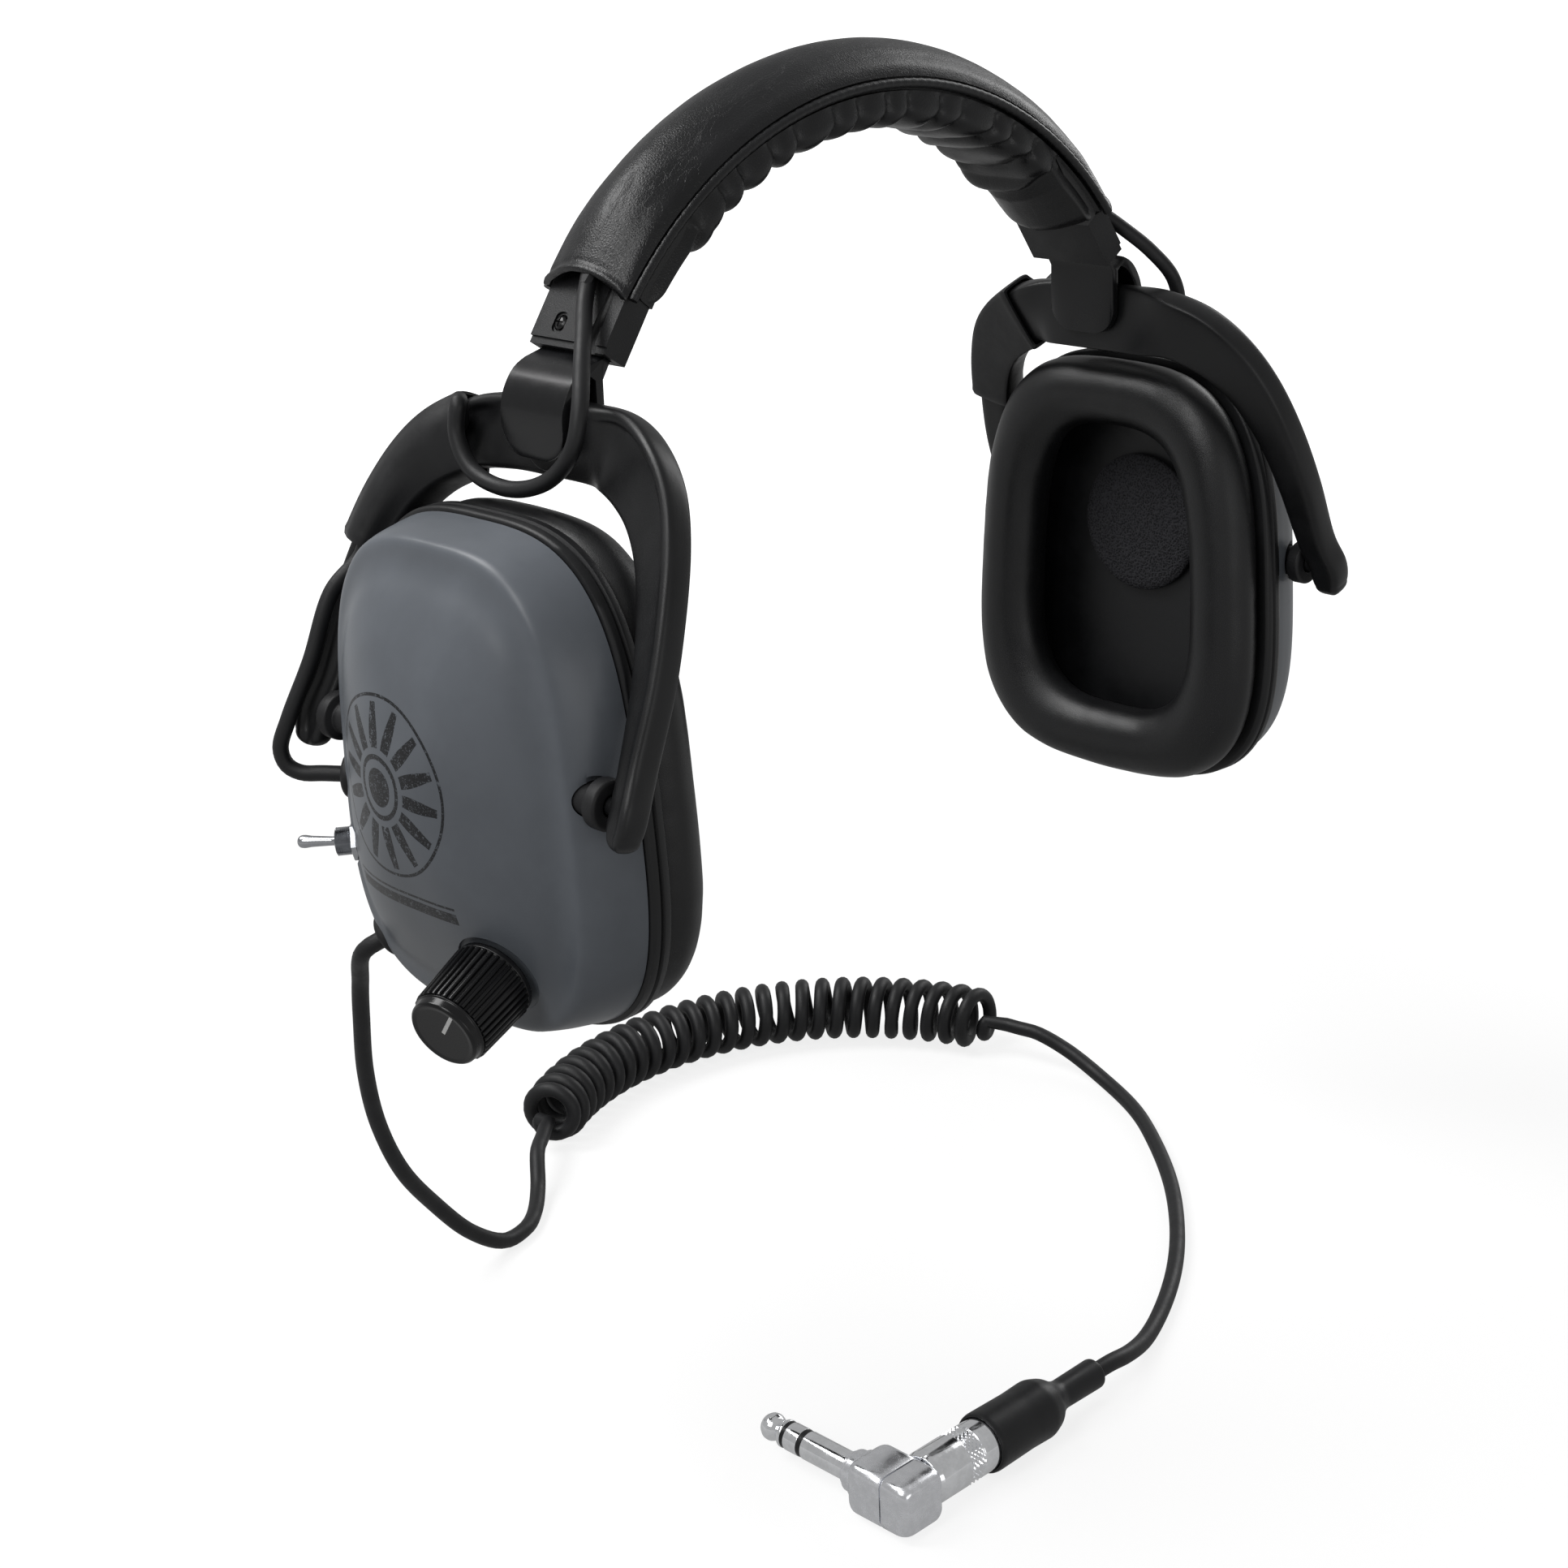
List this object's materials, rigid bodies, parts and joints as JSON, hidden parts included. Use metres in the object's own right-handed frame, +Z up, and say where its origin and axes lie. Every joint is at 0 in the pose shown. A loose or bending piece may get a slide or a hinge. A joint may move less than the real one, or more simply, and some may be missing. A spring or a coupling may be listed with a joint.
{
  "type": "over-ear headphones",
  "caption": "Wired over-ear headphones: leather-covered headband, hinged ear cups with a volume knob and toggle switch, and a coiled lead with a right-angle jack plug.",
  "frame": {"origin": "the middle of the line between the two ear cups' pivots, where the wearer's head is held", "axes": "+X to the wearer's left, -Y to the wearer's front, +Z up to the headband"},
  "size_m": [0.2818, 0.2199, 0.2982],
  "materials": {
    "steel_spring": "satin",
    "band_leather": "satin",
    "cable_rubber": "matte",
    "black_plastic": "satin",
    "dome_plastic": "satin",
    "cushion_vinyl": "satin",
    "driver_paper": "matte",
    "foam": "matte",
    "chrome_parts": "polished",
    "gloss_black": "glossy"
  },
  "bodies": {
    "headband": {"headband_spring": "steel_spring", "headband_cover": "band_leather", "headband_pad": "band_leather", "piping_front": "band_leather", "piping_rear": "band_leather", "link_cable": "cable_rubber", "slider_housing_right": "black_plastic", "housing_screw_right": "black_plastic", "cable_loop_upper_right": "cable_rubber", "slider_housing_left": "black_plastic", "housing_screw_left": "black_plastic", "cable_loop_upper_left": "cable_rubber"},
    "slider_right": {"slider_strap_right": "black_plastic", "swivel_pin_right": "steel_spring", "cable_loop_lower_right": "cable_rubber"},
    "yoke_right": {"yoke_right": "black_plastic", "yoke_sleeve_right": "cable_rubber", "cable_drop_right": "cable_rubber"},
    "cup_right": {"dome_right": "dome_plastic", "rim_right": "black_plastic", "baffle_right": "black_plastic", "ear_cushion_right": "cushion_vinyl", "speaker_right": "driver_paper", "ear_foam_right": "foam", "pivot_bush_front_right": "cable_rubber", "pivot_bush_rear_right": "cable_rubber", "cable_grommet_right": "cable_rubber", "cord_grommet": "cable_rubber", "cord_drop": "cable_rubber", "cord_coil": "cable_rubber", "cord_lead": "cable_rubber", "plug_boot": "cable_rubber", "switch_body": "chrome_parts", "switch_nut": "chrome_parts", "plug_barrel": "chrome_parts", "plug_cap": "chrome_parts", "plug_housing": "chrome_parts", "plug_sleeve": "chrome_parts", "plug_ring": "chrome_parts", "plug_tip": "chrome_parts", "plug_insulator": "black_plastic", "volume_pot": "steel_spring"},
    "slider_left": {"slider_strap_left": "black_plastic", "swivel_pin_left": "steel_spring", "cable_loop_lower_left": "cable_rubber"},
    "yoke_left": {"yoke_left": "black_plastic", "yoke_sleeve_left": "cable_rubber", "cable_drop_left": "cable_rubber"},
    "cup_left": {"dome_left": "dome_plastic", "rim_left": "black_plastic", "baffle_left": "black_plastic", "ear_cushion_left": "cushion_vinyl", "speaker_left": "driver_paper", "ear_foam_left": "foam", "pivot_bush_front_left": "cable_rubber", "pivot_bush_rear_left": "cable_rubber", "cable_grommet_left": "cable_rubber"},
    "volume": {"volume_knob": "gloss_black", "volume_shaft": "chrome_parts"},
    "switch": {"switch_lever": "chrome_parts"}
  },
  "joints": [
    {"name": "slide_right", "type": "slide", "parent": "headband", "child": "slider_right", "axis": [-0.5592, 0, -0.829], "range_m": [0, 0.02], "deforming": ["cable_loop_upper_right"]},
    {"name": "swing_right", "type": "hinge", "parent": "slider_right", "child": "yoke_right", "pos_m": [-0.0878, 0, 0.063], "axis": [1, 0, 0], "range_deg": [-10, 10], "deforming": ["cable_loop_lower_right"]},
    {"name": "tilt_right", "type": "hinge", "parent": "yoke_right", "child": "cup_right", "pos_m": [-0.117, 0, 0], "axis": [0, 1, 0], "range_deg": [-6, 6], "deforming": ["cable_drop_right"]},
    {"name": "slide_left", "type": "slide", "parent": "headband", "child": "slider_left", "axis": [0.5592, 0, -0.829], "range_m": [0, 0.02], "deforming": ["cable_loop_upper_left"]},
    {"name": "swing_left", "type": "hinge", "parent": "slider_left", "child": "yoke_left", "pos_m": [0.0878, 0, 0.063], "axis": [1, 0, 0], "range_deg": [-10, 10], "deforming": ["cable_loop_lower_left"]},
    {"name": "tilt_left", "type": "hinge", "parent": "yoke_left", "child": "cup_left", "pos_m": [0.117, 0, 0], "axis": [0, 1, 0], "range_deg": [-6, 6], "deforming": ["cable_drop_left"]},
    {"name": "volume_turn", "type": "hinge", "parent": "cup_right", "child": "volume", "pos_m": [-0.12571, -0.01663, -0.04157], "axis": [-0.9246, -0.1988, -0.3248], "range_deg": [-150, 150]},
    {"name": "switch_flip", "type": "hinge", "parent": "cup_right", "child": "switch", "pos_m": [-0.12002, 0.04133, -0.02772], "axis": [-0.0737, 0.039, 0.9965], "range_deg": [0, 25]}
  ]
}
